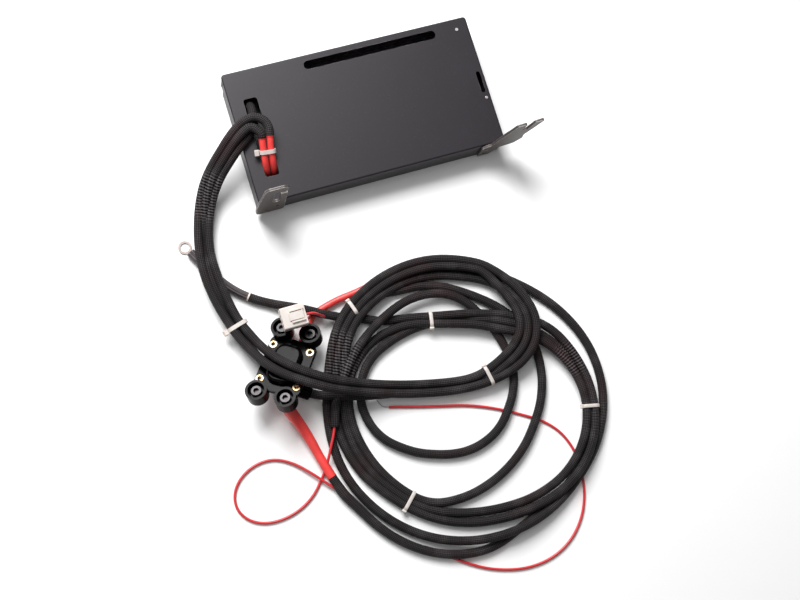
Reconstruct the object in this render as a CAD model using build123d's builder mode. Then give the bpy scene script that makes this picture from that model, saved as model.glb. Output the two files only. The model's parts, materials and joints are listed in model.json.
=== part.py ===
# Battery box with its cable loom.
# A folded sheet-steel cover stands over a shallow pan. Three flat cells, a control board and the lead
# posts sit between them. Two hanging ears are riveted to the front wall. Three sleeved cables leave a
# slot in the cover, cross a small junction block and end in a loose coil on the floor.
# The origin is the centre of the pan's underside, +X along the box, +Y to the rear, +Z up. Millimetres.
import os
from math import cos, pi, radians, sin, tan

from build123d import *

os.makedirs("parts", exist_ok=True)

# ---------------------------------------------------------------- driving dimensions
# cover and pan
plate_length = 305.0
plate_width = 161.0
box_height = 36.5
sheet = 1.5
corner_radius = 4.0
bend_radius = 2.0
corner_relief = 10.5
pan_sheet = 2.0
pan_flange = 12.0
seat_gap = 0.25

# openings in the cover
strap_slot_length = 165.0
strap_slot_width = 10.5
strap_slot_x = 27.5
strap_slot_inset = 13.0
cable_slot_length = 96.0
cable_slot_width = 16.5
cable_slot_inset = 25.0
cable_slot_y = -3.0
cable_slot_corner = 3.0
edge_slot_length = 27.0
edge_slot_width = 5.2
edge_slot_inset = 7.0
edge_slot_y = -3.5

# hanging ears
ear_sheet = 3.0
left_ear_width = 34.0
ear_top = 103.0
ear_bottom = 4.0
ear_overhang = 3.5
ear_corner = 6.0
hook_slot_width = 8.0
hook_slot_low = 49.0
hook_slot_high = 82.0

# cells
cell_count = 3
cell_width = 75.5
cell_length = 118.0
cell_height = 26.0
cell_pitch = 76.1
cell_radius = 3.0
first_cell_x = -62.0
cell_y = -3.0
foam_thickness = 2.0
post_radius = 4.5
post_length = 4.0
post_offset = 22.0
bar_thickness = 2.0
bar_height = 14.0
bus_screw_radius = 2.4
bus_head_radius = 4.3
bus_head_height = 3.2

# control board
board_width = 38.0
board_length = 124.0
board_thickness = 1.6
board_x = -127.0
standoff_height = 4.6
standoff_radius = 3.0
board_screw_radius = 1.45
board_hole_inset = 4.0

# fasteners
rivet_radius = 1.2
rivet_head_radius = 1.9
rivet_head_height = 0.7
hole_clearance = 0.1
pan_screw_radius = 1.5
pan_screw_head = 2.8

# cables
cable_diameter = 9.0
lead_diameter = 7.4
wire_diameter = 3.0
plug_wire_diameter = 3.2

# coil of loom
coil_height = 20.0

# junction block
block_tilt = 26.0
block_lean = 108.4
block_turn = 57.7
block_origin = (-176.0, -265.5, 28.7)
block_length = 68.0
block_width = 56.0
block_thickness = 6.0
block_corner = 7.0
tower_radius = 12.5
tower_cup_radius = 9.6
tower_height = 11.0
tower_skirt = 4.0
tower_x = 41.5
tower_y = 17.5
cup_floor = 2.0
eyelet_square = 45.0
eyelet_bore = 2.75
eyelet_wall = 0.75
eyelet_flange = 1.0
eyelet_flange_height = 0.8
hood_length = 50.0
hood_width = 34.0
hood_height = 7.0
hood_wall = 2.0
hood_corner = 13.0
screw_head_radius = 6.2
screw_head_height = 7.2
screw_shank_radius = 3.9
screw_running_gap = 0.05
hex_across_flats = 6.0
hex_depth = 4.0
gland_radius = 5.4
gland_length = 16.0
gland_y = -8.0

# ring terminal and plug
lug_hole_radius = 5.2
lug_radius = 7.8
lug_thickness = 1.6
lug_barrel_radius = 4.4
lug_barrel_length = 12.0
plug_length = 28.0
plug_width = 25.0
plug_height = 18.0
plug_centre = (-152.0, -216.4, 38.9)
plug_rows = 3
plug_columns = 4
plug_pitch = 5.6
cavity = 4.2
cavity_depth = 9.0
latch_length = 15.0
latch_width = 9.0
latch_thickness = 1.4
latch_gap = 0.3

# ties
tie_width = 4.6
tie_thickness = 1.2
tie_gap = 0.7
tie_head = (7.0, 5.0, 6.0)

# holder on the middle cable
holder_radius = 8.4
holder_length = 14.0
holder_gap = 0.4

# ---------------------------------------------------------------- worked-out values
half_length = plate_length / 2
half_width = plate_width / 2
plate_under = box_height - sheet
pan_outer_x = plate_length - 2 * sheet - 2 * seat_gap
pan_outer_y = plate_width - 2 * sheet - 2 * seat_gap
pan_floor = pan_sheet
cable_slot_x = -half_length + cable_slot_inset
strap_slot_y = half_width - strap_slot_inset
edge_slot_x = half_length - edge_slot_inset
ear_back = half_width + seat_gap
foam_low = pan_floor + seat_gap
cell_low = foam_low + foam_thickness + seat_gap
cell_high = cell_low + cell_height
cell_middle = cell_low + cell_height / 2
cell_front = cell_y - cell_length / 2
cell_xs = [first_cell_x + cell_pitch * i for i in range(cell_count)]
post_face = cell_front - post_length
cable_radius = cable_diameter / 2
lead_radius = lead_diameter / 2
board_low = pan_floor + seat_gap + standoff_height + seat_gap
board_top = board_low + board_thickness

# junction block's own plane: z is the towers' axis, x runs along the block
block_z = Vector(
    sin(radians(block_tilt)) * cos(radians(block_lean)),
    sin(radians(block_tilt)) * sin(radians(block_lean)),
    cos(radians(block_tilt)),
)
block_along = Vector(cos(radians(block_turn)), sin(radians(block_turn)), 0)
block_x = (block_along - block_z * block_along.dot(block_z)).normalized()
block_plane = Plane(origin=block_origin, x_dir=block_x, z_dir=block_z)


def save(piece, label):
    """Label a finished piece and write its STEP file."""
    piece.part.label = label
    export_step(piece.part, f"parts/{label}.step")
    return piece


def arc_radii(points):
    """The largest arc that each corner's two runs allow: 0.45 of the shorter run over tan(turn / 2)."""
    corners = [Vector(*p) for p in points]
    radii = []
    for before, here, after in zip(corners, corners[1:], corners[2:]):
        run_in = here - before
        run_out = after - here
        half_turn = radians(run_in.get_angle(run_out)) / 2
        radii.append(0.45 * min(run_in.length, run_out.length) / tan(half_turn))
    return radii


def onward(before, last, distance):
    """The point that lies the given distance further along a route's last run."""
    return tuple(Vector(*last) + (Vector(*last) - Vector(*before)).normalized() * distance)


def crossing(points, plane):
    """Where a route's centre line passes through a plane, in the plane's own x and y."""
    line = FilletPolyline(*points, radius=arc_radii(points))
    steps = [i / 2000 for i in range(2001)]
    heights = [plane.to_local_coords(line.position_at(u)).Z for u in steps]
    nearest = min(range(len(steps)), key=lambda i: abs(heights[i]))
    place = plane.to_local_coords(line.position_at(steps[nearest]))
    return place.X, place.Y


def cord_tube(label, points, diameter, trimmed_by=()):
    """A plain tube along straight runs joined by tangent arcs, cut back where it enters a coil."""
    radii = arc_radii(points)
    with BuildPart() as tube:
        with BuildLine() as path:
            FilletPolyline(*points, radius=radii)
        with BuildSketch(Plane(origin=path.line @ 0, z_dir=path.line % 0)):
            Circle(diameter / 2)
        sweep()
        length = sum(edge.length for edge in path.edges())
        whole = tube.part.volume / (pi * diameter**2 / 4 * length)
        for solid in trimmed_by:
            add(solid.part, mode=Mode.SUBTRACT)
    print(f"{label}: {length:.0f} mm, volume ratio {whole:.4f}, radii {[round(r) for r in radii]}")
    return save(tube, label)


# ---------------------------------------------------------------- cover
rivet_places = [(half_length - 15.5, half_width - 14.0), (edge_slot_x + 1.0, edge_slot_y - 20.5)]
pan_screw_places = [
    (x, y)
    for x in (-half_length + 9.0, half_length - 9.0)
    for y in (-half_width + 9.0, half_width - 9.0)
]
ear_rivet_places = [(-145.0, 12.0), (-131.0, 24.0), (129.0, 11.0), (129.0, 27.0)]

with BuildPart() as cover:
    with BuildSketch():
        RectangleRounded(plate_length, plate_width, corner_radius)
    extrude(amount=box_height)
    fillet(cover.faces().sort_by(Axis.Z)[-1].edges(), bend_radius)
    with BuildSketch():
        RectangleRounded(plate_length - 2 * sheet, plate_width - 2 * sheet, corner_radius - sheet)
    extrude(amount=plate_under, mode=Mode.SUBTRACT)
    # reliefs at the rear ends of the side walls
    with Locations(
        (-half_length, half_width - sheet - corner_relief / 2, plate_under / 2 - bend_radius / 2),
        (half_length, half_width - sheet - corner_relief / 2, plate_under / 2 - bend_radius / 2),
    ):
        Box(2 * sheet, corner_relief, plate_under - bend_radius, mode=Mode.SUBTRACT)
    with BuildSketch(Plane.XY.offset(box_height)):
        with Locations((strap_slot_x, strap_slot_y)):
            SlotOverall(strap_slot_length, strap_slot_width)
        with Locations((cable_slot_x, cable_slot_y)):
            RectangleRounded(cable_slot_width, cable_slot_length, cable_slot_corner)
        with Locations((edge_slot_x, edge_slot_y)):
            SlotOverall(edge_slot_length, edge_slot_width, rotation=90)
        with Locations(*rivet_places):
            Circle(rivet_radius + hole_clearance)
    extrude(amount=-2 * sheet, mode=Mode.SUBTRACT)
    with BuildSketch(Plane.XZ.offset(half_width)):
        with Locations(*ear_rivet_places):
            Circle(rivet_radius + hole_clearance)
    extrude(amount=-2 * sheet, mode=Mode.SUBTRACT)
save(cover, "cover")

# ---------------------------------------------------------------- pan, screws and corner posts
with BuildPart() as pan:
    with BuildSketch():
        RectangleRounded(pan_outer_x, pan_outer_y, corner_radius - sheet)
    extrude(amount=pan_flange + pan_sheet)
    with BuildSketch(Plane.XY.offset(pan_sheet)):
        RectangleRounded(pan_outer_x - 2 * pan_sheet, pan_outer_y - 2 * pan_sheet, 1.0)
    extrude(amount=pan_flange, mode=Mode.SUBTRACT)
    with Locations(*[(x, y, 0) for x, y in pan_screw_places]):
        Cylinder(
            pan_screw_radius + hole_clearance,
            3 * pan_sheet,
            mode=Mode.SUBTRACT,
        )
        Cone(
            pan_screw_head + hole_clearance,
            pan_screw_radius + hole_clearance,
            pan_screw_head - pan_screw_radius,
            align=(Align.CENTER, Align.CENTER, Align.MIN),
            mode=Mode.SUBTRACT,
        )
    # the two lower rivet tails of each ear reach past the flange through clear holes
    with BuildSketch(Plane.XZ.offset(half_width)):
        with Locations(*ear_rivet_places):
            Circle(rivet_head_radius + 1.0)
    extrude(amount=-3 * pan_sheet, mode=Mode.SUBTRACT)
save(pan, "pan")

post_low = pan_floor + seat_gap
with BuildPart() as corner_posts:
    with BuildSketch(Plane.XY.offset(post_low)):
        with Locations(*pan_screw_places):
            Circle(4.0)
            Circle(pan_screw_radius + hole_clearance, mode=Mode.SUBTRACT)
    extrude(amount=plate_under - post_low)
save(corner_posts, "corner_posts")

with BuildPart() as pan_screws:
    with Locations(*[(x, y, 0) for x, y in pan_screw_places]):
        Cone(
            pan_screw_head,
            pan_screw_radius,
            pan_screw_head - pan_screw_radius,
            align=(Align.CENTER, Align.CENTER, Align.MIN),
        )
        Cylinder(pan_screw_radius, 12.0, align=(Align.CENTER, Align.CENTER, Align.MIN))
save(pan_screws, "pan_screws")

# ---------------------------------------------------------------- hanging ears
left_ear_edge = -half_length - ear_overhang
left_ear_right = left_ear_edge + left_ear_width
left_ear_taper = 8.0
hook_x = left_ear_edge + 22.5
left_ear_outline = [
    (left_ear_edge, ear_bottom),
    (left_ear_edge, 36.0),
    (left_ear_edge + left_ear_taper, ear_top),
    (left_ear_right, ear_top),
    (left_ear_right, ear_bottom),
]
with BuildPart() as left_ear:
    with BuildSketch(Plane.XZ.offset(ear_back)) as face:
        with BuildLine():
            Polyline(*left_ear_outline, close=True)
        make_face()
        fillet(face.vertices(), ear_corner)
        # a hook-shaped slot: in from the right edge, then down
        with Locations((hook_x, (hook_slot_low + hook_slot_high) / 2)):
            SlotOverall(
                hook_slot_high - hook_slot_low + hook_slot_width,
                hook_slot_width,
                rotation=90,
                mode=Mode.SUBTRACT,
            )
        with Locations((hook_x, hook_slot_high)):
            Rectangle(
                left_ear_width,
                hook_slot_width,
                align=(Align.MIN, Align.CENTER),
                mode=Mode.SUBTRACT,
            )
        with Locations(*ear_rivet_places[:2]):
            Circle(rivet_radius + hole_clearance, mode=Mode.SUBTRACT)
    extrude(amount=ear_sheet)
save(left_ear, "left_ear")

# the right ear leans outward from its foot and is forked at the top
right_ear_foot = half_length - 30.5
right_ear_outline = [
    (right_ear_foot, ear_bottom),
    (right_ear_foot, 33.0),
    (right_ear_foot + 12.0, 40.0),
    (right_ear_foot + 16.0, 56.0),
    (right_ear_foot + 23.0, 77.0),
    (right_ear_foot + 30.0, 97.0),
    (right_ear_foot + 42.0, 99.0),
    (right_ear_foot + 40.0, 84.0),
    (right_ear_foot + 38.5, 76.0),
    (right_ear_foot + 46.0, 76.0),
    (right_ear_foot + 51.0, 99.0),
    (right_ear_foot + 63.0, 101.0),
    (right_ear_foot + 55.5, 77.0),
    (right_ear_foot + 48.0, 56.0),
    (right_ear_foot + 49.5, 41.0),
    (right_ear_foot + 42.0, 28.0),
    (right_ear_foot + 24.0, 24.0),
    (right_ear_foot + 15.0, ear_bottom),
]
with BuildPart() as right_ear:
    with BuildSketch(Plane.XZ.offset(ear_back)) as face:
        with BuildLine():
            Polyline(*right_ear_outline, close=True)
        make_face()
        fillet(face.vertices(), 2.2)
        with Locations(*ear_rivet_places[2:]):
            Circle(rivet_radius + hole_clearance, mode=Mode.SUBTRACT)
    extrude(amount=ear_sheet)
save(right_ear, "right_ear")

with BuildPart() as ear_rivets:
    grip = ear_sheet + seat_gap + sheet
    with BuildSketch(Plane.XZ.offset(ear_back + ear_sheet)):
        with Locations(*ear_rivet_places):
            Circle(rivet_head_radius)
    extrude(amount=rivet_head_height)
    with BuildSketch(Plane.XZ.offset(ear_back + ear_sheet)):
        with Locations(*ear_rivet_places):
            Circle(rivet_radius)
    extrude(amount=-grip)
    with BuildSketch(Plane.XZ.offset(ear_back + ear_sheet - grip)):
        with Locations(*ear_rivet_places):
            Circle(rivet_head_radius)
    extrude(amount=-rivet_head_height)
save(ear_rivets, "ear_rivets")

# ---------------------------------------------------------------- inner bracket and its two rivets
bracket_low = 8.0
bracket_x = 134.0
bracket_end = half_length - sheet - 1.0
bracket_rear = half_width - sheet - 20.0 + 14.0
bracket_front = edge_slot_y - edge_slot_length / 2 - 14.0
bracket_top = plate_under - 0.1
with BuildPart() as side_bracket:
    with BuildSketch(Plane.XY.offset(bracket_top)):
        with Locations((bracket_x, bracket_front)):
            Rectangle(
                bracket_end - bracket_x,
                bracket_rear - bracket_front,
                align=(Align.MIN, Align.MIN),
            )
        with Locations((edge_slot_x + 2.0, edge_slot_y)):
            Rectangle(edge_slot_width + 8.0, edge_slot_length + 4.0, mode=Mode.SUBTRACT)
        with Locations(*rivet_places):
            Circle(rivet_radius + hole_clearance, mode=Mode.SUBTRACT)
        with Locations(*pan_screw_places):
            Circle(5.0, mode=Mode.SUBTRACT)
    extrude(amount=-sheet)
    with BuildSketch(Plane.XY.offset(bracket_top)):
        with Locations((bracket_x - sheet, bracket_front)):
            Rectangle(sheet, bracket_rear - bracket_front, align=(Align.MIN, Align.MIN))
    extrude(amount=bracket_low - bracket_top)
save(side_bracket, "side_bracket")

with BuildPart() as cover_rivets:
    with BuildSketch(Plane.XY.offset(box_height)):
        with Locations(*rivet_places):
            Circle(rivet_head_radius)
    extrude(amount=rivet_head_height)
    fillet(cover_rivets.faces().sort_by(Axis.Z)[-1].edges(), 0.4)
    with BuildSketch(Plane.XY.offset(box_height)):
        with Locations(*rivet_places):
            Circle(rivet_radius)
    extrude(amount=bracket_top - sheet - box_height)
    with BuildSketch(Plane.XY.offset(bracket_top - sheet)):
        with Locations(*rivet_places):
            Circle(rivet_head_radius)
    extrude(amount=-rivet_head_height)
save(cover_rivets, "cover_rivets")

# ---------------------------------------------------------------- cells and foam
pack_length = cell_pitch * (cell_count - 1) + cell_width
pack_x = (cell_xs[0] + cell_xs[-1]) / 2
with BuildPart() as lower_foam:
    with BuildSketch(Plane.XY.offset(foam_low)):
        with Locations((pack_x, cell_y)):
            Rectangle(pack_length, cell_length)
    extrude(amount=foam_thickness)
save(lower_foam, "lower_foam")

with BuildPart() as upper_foam:
    with BuildSketch(Plane.XY.offset(cell_high + seat_gap)):
        with Locations((pack_x, cell_y)):
            Rectangle(pack_length, cell_length)
    extrude(amount=plate_under - cell_high - 2 * seat_gap)
save(upper_foam, "upper_foam")

for number, x in enumerate(cell_xs, start=1):
    with BuildPart() as cell:
        with BuildSketch(Plane.XY.offset(cell_low)):
            with Locations((x, cell_y)):
                RectangleRounded(cell_width, cell_length, cell_radius)
        extrude(amount=cell_height)
        with BuildSketch(Plane.XZ.offset(-cell_front)):
            with Locations((x - post_offset, cell_middle), (x + post_offset, cell_middle)):
                Circle(post_radius)
        extrude(amount=post_length)
        with BuildSketch(Plane.XZ.offset(-post_face)):
            with Locations((x - post_offset, cell_middle), (x + post_offset, cell_middle)):
                Circle(bus_screw_radius + hole_clearance)
        extrude(amount=-post_length - 3.0, mode=Mode.SUBTRACT)
    save(cell, f"cell_{number}")

bar_back = post_face - 0.1
bar_front = bar_back - bar_thickness
with BuildPart() as cell_links:
    for x in cell_xs[:-1]:
        with BuildSketch(Plane.XZ.offset(-bar_back)):
            with Locations((x + cell_pitch / 2, cell_middle)):
                RectangleRounded(cell_pitch - 2 * post_offset + 12.0, bar_height, 3.0)
            with Locations((x + post_offset, cell_middle), (x + cell_pitch - post_offset, cell_middle)):
                Circle(bus_screw_radius + hole_clearance, mode=Mode.SUBTRACT)
        extrude(amount=bar_thickness)
save(cell_links, "cell_links")

strap_left = board_x + board_width / 2 + 2.0
strap_bottom = cell_middle + bar_height / 2 + 2.0
with BuildPart() as pack_straps:
    # short strap from the first cell, long strap back along the front from the last one
    with BuildSketch(Plane.XZ.offset(-bar_back)):
        with Locations((strap_left, cell_middle)):
            Rectangle(
                cell_xs[0] - post_offset + 7.0 - strap_left,
                bar_height - 4.0,
                align=(Align.MIN, Align.CENTER),
            )
        with Locations((strap_left, strap_bottom)):
            Rectangle(
                cell_xs[-1] + post_offset + 7.0 - strap_left,
                5.0,
                align=(Align.MIN, Align.MIN),
            )
        with Locations((cell_xs[-1] + post_offset, cell_middle - 6.0)):
            Rectangle(14.0, strap_bottom + 5.0 - cell_middle + 6.0, align=(Align.CENTER, Align.MIN))
        with Locations((cell_xs[0] - post_offset, cell_middle), (cell_xs[-1] + post_offset, cell_middle)):
            Circle(bus_screw_radius + hole_clearance, mode=Mode.SUBTRACT)
    extrude(amount=bar_thickness)
save(pack_straps, "pack_straps")

with BuildPart() as bus_screws:
    posts = [(x + side * post_offset, cell_middle) for x in cell_xs for side in (-1, 1)]
    with BuildSketch(Plane.XZ.offset(-bar_front)):
        with Locations(*posts):
            Circle(bus_head_radius)
            RegularPolygon(1.6, 6, mode=Mode.SUBTRACT)
    extrude(amount=bus_head_height)
    with BuildSketch(Plane.XZ.offset(-bar_front)):
        with Locations(*posts):
            Circle(bus_screw_radius)
    extrude(amount=-bar_thickness - post_length)
save(bus_screws, "bus_screws")

# ---------------------------------------------------------------- control board
board_holes = [
    (board_x + sx * (board_width / 2 - board_hole_inset), sy * (board_length / 2 - board_hole_inset))
    for sx in (-1, 1)
    for sy in (-1, 1)
]
with BuildPart() as board_standoffs:
    with BuildSketch(Plane.XY.offset(pan_floor + seat_gap)):
        with Locations(*board_holes):
            RegularPolygon(standoff_radius, 6)
            Circle(board_screw_radius + hole_clearance, mode=Mode.SUBTRACT)
    extrude(amount=standoff_height)
save(board_standoffs, "board_standoffs")

with BuildPart() as control_board:
    with BuildSketch(Plane.XY.offset(board_low)):
        with Locations((board_x, 0)):
            RectangleRounded(board_width, board_length, 2.0)
        with Locations(*board_holes):
            Circle(board_screw_radius + hole_clearance, mode=Mode.SUBTRACT)
    extrude(amount=board_thickness)
save(control_board, "control_board")

with BuildPart() as board_screws:
    with BuildSketch(Plane.XY.offset(board_top)):
        with Locations(*board_holes):
            Circle(2 * board_screw_radius)
    extrude(amount=1.8)
    with BuildSketch(Plane.XY.offset(board_top)):
        with Locations(*board_holes):
            Circle(board_screw_radius)
    extrude(amount=-board_thickness - standoff_height)
save(board_screws, "board_screws")

with BuildPart() as board_parts:
    # a row of power switches under one heat spreader, a shunt and a balance connector
    with BuildSketch(Plane.XY.offset(board_top)):
        with Locations((board_x + 9.0, 0)):
            with GridLocations(0, 9.5, 1, 6):
                Rectangle(9.0, 7.0)
    extrude(amount=2.4)
    with Locations((board_x + 9.0, 0, board_top + 2.4)):
        Box(11.0, 56.0, 3.0, align=(Align.CENTER, Align.CENTER, Align.MIN))
    with Locations((board_x - 10.0, 14.0, board_top)):
        Box(7.0, 12.0, 5.0, align=(Align.CENTER, Align.CENTER, Align.MIN))
    with Locations((board_x - 10.0, -16.0, board_top)):
        Box(10.0, 20.0, 6.5, align=(Align.CENTER, Align.CENTER, Align.MIN))
save(board_parts, "board_parts")

# ---------------------------------------------------------------- cable routes, as chosen points
lead_a_route = [
    (-123.4, -45.6, 15.0),
    (-123.4, -45.6, 29.5),
    (-123.2, -35.0, 40.5),
    (-121.8, -20.5, 46.5),
    (-119.6, -9.0, 50.3),
]
lead_b_route = [
    (-132.0, -45.6, 15.0),
    (-132.0, -45.6, 29.5),
    (-131.9, -35.0, 40.5),
    (-130.6, -21.0, 46.0),
    (-129.2, -10.5, 50.0),
]
cable_a_route = [
    lead_a_route[-1],
    onward(lead_a_route[-2], lead_a_route[-1], 9.0),
    (-121.0, 12.0, 52.0),
    (-131.5, 18.5, 51.8),
    (-147.0, 15.5, 49.5),
    (-163.0, 5.0, 44.5),
    (-178.0, -8.0, 37.5),
    (-192.0, -20.5, 30.0),
    (-204.0, -34.0, 22.5),
    (-213.0, -49.5, 16.0),
    (-220.0, -66.0, 12.0),
    (-226.0, -85.0, 12.0),
    (-230.5, -104.0, 14.0),
    (-233.5, -126.0, 14.0),
    (-233.0, -151.0, 11.5),
    (-228.5, -178.0, 12.5),
    (-220.0, -208.0, 15.4),
    (-214.5, -223.0, 19.5),
    (-207.5, -238.0, 26.0),
    (-200.0, -253.0, 35.0),
    (-190.0, -267.0, 43.0),
    (-177.0, -279.5, 48.5),
    (-163.0, -289.5, 50.5),
    (-149.0, -298.0, 48.0),
    (-135.0, -305.5, 41.5),
    (-118.0, -312.5, 32.5),
    (-98.0, -319.5, 22.0),
    (-75.0, -327.0, 12.0),
    (-49.0, -335.0, 6.0),
    (-21.0, -342.0, 4.7),
    (9.0, -348.0, 4.7),
    (36.0, -350.5, 4.7),
    (62.0, -348.5, 4.7),
    (88.0, -341.0, 4.7),
]
cable_b_route = [
    lead_b_route[-1],
    onward(lead_b_route[-2], lead_b_route[-1], 8.0),
    (-136.5, 5.0, 51.8),
    (-147.0, 3.5, 50.0),
    (-159.0, -6.0, 45.5),
    (-172.5, -18.0, 38.0),
    (-185.5, -30.5, 29.5),
    (-196.5, -44.0, 21.0),
    (-205.5, -59.0, 14.0),
    (-212.0, -75.0, 9.5),
    (-217.0, -93.0, 9.0),
    (-221.0, -112.0, 11.0),
    (-223.8, -131.0, 14.2),
    (-223.0, -151.0, 14.2),
    (-219.6, -172.0, 9.5),
    (-216.4, -190.0, 7.0),
    (-213.6, -206.0, 6.9),
    (-208.5, -225.0, 5.6),
    (-201.0, -245.0, 4.7),
    (-190.0, -265.0, 5.2),
    (-178.5, -282.0, 7.4),
    (-169.5, -292.3, 8.8),
    (-151.5, -305.7, 8.8),
    (-137.0, -313.0, 6.5),
]
cable_c_route = [
    (-128.6, 39.8, 15.0),
    (-128.6, 39.8, 28.0),
    (-129.0, 31.5, 37.8),
    (-130.5, 20.0, 41.4),
    (-134.0, 8.0, 41.7),
    (-142.0, -4.0, 41.8),
    (-153.5, -14.5, 41.4),
    (-166.5, -26.5, 36.0),
    (-179.0, -39.5, 28.0),
    (-189.5, -53.5, 20.0),
    (-197.5, -68.5, 13.0),
    (-203.5, -85.0, 9.0),
    (-208.0, -102.0, 8.5),
    (-211.8, -119.0, 10.0),
    (-214.0, -136.0, 13.2),
    (-213.2, -153.0, 14.4),
    (-210.8, -171.0, 14.4),
    (-208.8, -188.0, 15.2),
    (-207.8, -203.5, 15.6),
    (-203.5, -218.5, 19.5),
    (-197.5, -233.0, 26.0),
    (-190.0, -247.0, 35.0),
    (-180.5, -260.0, 43.0),
    (-168.5, -272.0, 48.5),
    (-156.0, -281.5, 50.5),
    (-143.0, -290.0, 48.0),
    (-129.5, -297.0, 41.5),
    (-113.5, -303.5, 32.5),
    (-94.0, -310.5, 22.0),
    (-72.0, -317.5, 12.0),
    (-46.5, -325.0, 6.0),
    (-18.5, -332.0, 4.7),
    (11.0, -338.0, 4.7),
    (36.0, -340.8, 4.7),
    (60.0, -338.5, 4.7),
    (88.0, -330.0, 4.7),
]
lug_lead_route = [
    (-237.5, -113.5, 4.7),
    (-231.0, -125.5, 4.7),
    (-223.5, -138.5, 4.7),
    (-215.0, -151.0, 4.7),
    (-206.0, -162.0, 4.7),
    (-196.0, -171.5, 4.7),
    (-184.0, -180.5, 4.7),
    (-170.5, -188.5, 5.5),
    (-156.5, -196.0, 9.0),
    (-142.5, -203.5, 15.0),
    (-127.5, -212.0, 17.0),
    (-113.0, -220.0, 15.0),
    (-96.0, -228.5, 11.0),
]
tail_1_start = Vector(-186.0, -297.2, 28.6)
tail_2_start = Vector(-148.4, -246.2, 10.8)
tail_1_route = [
    tuple(tail_1_start),
    tuple(tail_1_start - block_x * 10.0),
    (-192.5, -315.0, 26.0),
    (-187.0, -325.5, 16.0),
    (-180.5, -337.0, 9.5),
    (-174.5, -351.0, 7.4),
    (-170.0, -366.0, 7.4),
    (-165.5, -384.0, 7.6),
    (-160.0, -400.5, 7.6),
    (-150.5, -417.0, 7.6),
]
tail_2_route = [
    tuple(tail_2_start),
    tuple(tail_2_start + block_x * 9.0),
    (-137.0, -229.0, 5.6),
    (-131.0, -219.8, 4.2),
    (-121.0, -213.5, 4.2),
    (-107.0, -209.5, 4.2),
    (-91.0, -206.0, 4.2),
    (-70.0, -204.0, 4.2),
]
sense_loop_route = [
    (-146.0, -362.0, 5.0),
    (-155.5, -378.5, 3.0),
    (-163.5, -391.0, 1.6),
    (-171.5, -401.5, 1.6),
    (-184.5, -415.5, 1.6),
    (-204.0, -426.5, 1.6),
    (-227.0, -431.0, 1.6),
    (-248.0, -428.5, 1.6),
    (-264.0, -418.5, 1.6),
    (-272.0, -403.0, 1.6),
    (-269.5, -385.5, 1.6),
    (-257.0, -370.5, 1.6),
    (-237.0, -361.5, 1.6),
    (-215.0, -362.0, 1.6),
    (-195.5, -373.5, 2.6),
    (-179.0, -390.5, 5.0),
    (-166.5, -406.0, 5.0),
    (-153.0, -421.0, 3.0),
]
sense_arc_route = [
    (-52.0, -530.0, 1.6),
    (-30.0, -547.0, 1.6),
    (-1.0, -561.0, 1.6),
    (30.0, -568.5, 1.6),
    (61.0, -566.5, 1.6),
    (88.0, -554.5, 1.6),
    (108.0, -535.0, 1.6),
    (120.5, -512.0, 1.6),
    (127.0, -485.0, 1.6),
]
sense_tip_route = [
    (76.0, -396.0, 1.6),
    (48.0, -380.0, 1.6),
    (16.0, -367.0, 1.6),
    (-14.0, -359.5, 1.6),
    (-42.0, -352.0, 1.6),
    (-62.0, -346.0, 1.6),
    (-74.5, -343.5, 1.6),
    (-80.5, -339.0, 1.8),
    (-82.5, -331.5, 2.4),
]
plug_back = plug_centre[0] + plug_length / 2
plug_lead_route = [
    (plug_back + 0.05, plug_centre[1], 35.0),
    (plug_back + 8.5, plug_centre[1], 35.0),
    (-120.5, -221.0, 32.0),
    (-114.0, -229.0, 25.5),
    (-108.5, -237.0, 17.5),
    (-101.0, -245.0, 12.5),
]

# ---------------------------------------------------------------- coil of loom
coil_outer = [
    (42, -185),
    (120, -232),
    (179, -303),
    (196, -368),
    (180, -434),
    (104, -510),
    (6, -540),
    (-77, -524),
    (-141, -457),
    (-158, -385),
    (-150, -333),
    (-128, -262),
    (-86, -211),
    (-20, -187),
]
coil_inner = [
    (-53, -269),
    (14, -275),
    (72, -295),
    (86, -325),
    (70, -371),
    (28, -406),
    (-34, -407),
    (-90, -373),
    (-108, -326),
    (-92, -280),
]
with BuildPart() as loom_coil:
    with BuildSketch():
        with BuildLine():
            Spline(*coil_outer, periodic=True)
        make_face()
        with BuildLine():
            Spline(*coil_inner, periodic=True)
        make_face(mode=Mode.SUBTRACT)
    extrude(amount=coil_height)
save(loom_coil, "loom_coil")

# ---------------------------------------------------------------- leads and cables
cord_tube("lead_a", lead_a_route, lead_diameter)
cord_tube("lead_b", lead_b_route, lead_diameter)
cord_tube("cable_a", cable_a_route, cable_diameter, [loom_coil])
cord_tube("cable_b", cable_b_route, cable_diameter, [loom_coil])
cord_tube("cable_c", cable_c_route, cable_diameter, [loom_coil])
cord_tube("lug_lead", lug_lead_route, cable_diameter, [loom_coil])
cord_tube("tail_1", tail_1_route, lead_diameter, [loom_coil])
cord_tube("tail_2", tail_2_route, lead_diameter, [loom_coil])
cord_tube("sense_loop", sense_loop_route, wire_diameter, [loom_coil])
cord_tube("sense_arc", sense_arc_route, wire_diameter, [loom_coil])
cord_tube("sense_tip", sense_tip_route, wire_diameter, [loom_coil])
cord_tube("plug_lead", plug_lead_route, plug_wire_diameter, [loom_coil])

# brass posts on the board that the three leads are soldered into
lead_starts = [lead_a_route[0], lead_b_route[0], cable_c_route[0]]
with BuildPart() as lead_posts:
    for x, y, z in lead_starts:
        with Locations((x, y, board_top + 0.05)):
            Cylinder(4.1, z - board_top - 0.15, align=(Align.CENTER, Align.CENTER, Align.MIN))
save(lead_posts, "lead_posts")

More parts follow.
